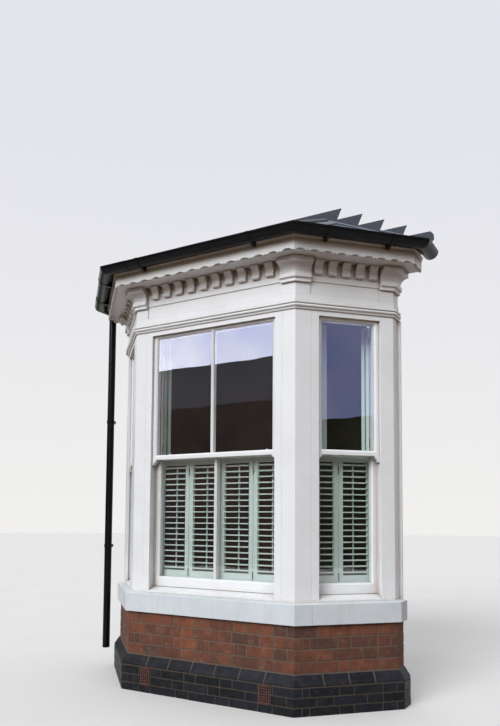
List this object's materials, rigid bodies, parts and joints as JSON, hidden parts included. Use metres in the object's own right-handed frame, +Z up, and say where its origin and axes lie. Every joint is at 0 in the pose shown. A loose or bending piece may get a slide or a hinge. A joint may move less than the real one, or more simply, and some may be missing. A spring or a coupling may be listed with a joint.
{
  "type": "canted bay window with sliding sashes",
  "caption": "Ground-floor canted bay of timber sash windows on a brick base, with stone sill, bracketed cornice, louvred shutters, gutter and slate roof.",
  "frame": {"origin": "middle of the bay's footprint box, at ground level", "axes": "+Z up, -Y is the street side, the house wall is a plane towards +Y, +X to the right seen from the street"},
  "size_m": [3.242, 1.236, 3.945],
  "materials": {
    "white_gloss_paint": "white gloss paint on softwood, brushed, a little chalky",
    "shutter_paint": "pale green satin paint on timber louvres",
    "blue_brick": "dense blue engineering brick with brownish mortar",
    "red_brick": "orange-red facing brick with dark burnt headers, weathered mortar",
    "terracotta": "dark unglazed terracotta air brick",
    "plaster": "painted plaster",
    "sandstone": "pale grey painted stone sill, slightly stained",
    "window_glass": "clear 4 mm window glass",
    "white_metal": "white painted sash fastener",
    "black_iron": "cast iron rainwater goods in black gloss paint",
    "bare_softwood": "sawn softwood, unpainted, hidden in the roof",
    "slate": "riven blue-grey roofing slate",
    "sheet_lead": "weathered sheet lead"
  },
  "bodies": {
    "root": {"air_bricks": "terracotta", "architrave": "white_gloss_paint", "ceiling": "plaster", "corner_corbels": "white_gloss_paint", "corner_posts": "white_gloss_paint", "crown_moulding": "white_gloss_paint", "downpipe": "black_iron", "downpipe_clips": "black_iron", "dwarf_wall": "red_brick", "frieze": "white_gloss_paint", "glass_front": "window_glass", "glass_left": "window_glass", "glass_right": "window_glass", "gutter": "black_iron", "gutter_brackets": "black_iron", "head_beam": "bare_softwood", "inner_plaster": "plaster", "lead_hips": "sheet_lead", "lower_louvres": "shutter_paint", "lower_sash_front": "white_gloss_paint", "lower_sash_left": "white_gloss_paint", "lower_sash_right": "white_gloss_paint", "lower_shutters_front": "shutter_paint", "lower_shutters_left": "shutter_paint", "lower_shutters_right": "shutter_paint", "modillions": "white_gloss_paint", "plinth_wall": "blue_brick", "rafters": "bare_softwood", "roof_deck": "bare_softwood", "roof_slates": "slate", "sash_fasteners": "white_metal", "sash_frame_front": "white_gloss_paint", "sash_frame_left": "white_gloss_paint", "sash_frame_right": "white_gloss_paint", "scalloped_fascia": "white_gloss_paint", "shutter_frames": "shutter_paint", "soffit": "white_gloss_paint", "splay_course": "blue_brick", "stone_sill": "sandstone", "timber_sill": "white_gloss_paint", "upper_louvres": "shutter_paint", "upper_sash_front": "white_gloss_paint", "upper_sash_left": "white_gloss_paint", "upper_sash_right": "white_gloss_paint", "upper_shutters_front": "shutter_paint", "upper_shutters_left": "shutter_paint", "upper_shutters_right": "shutter_paint", "wall_corbels": "white_gloss_paint", "wall_flashings": "sheet_lead", "wall_posts": "white_gloss_paint", "window_board": "white_gloss_paint"}
  },
  "joints": []
}
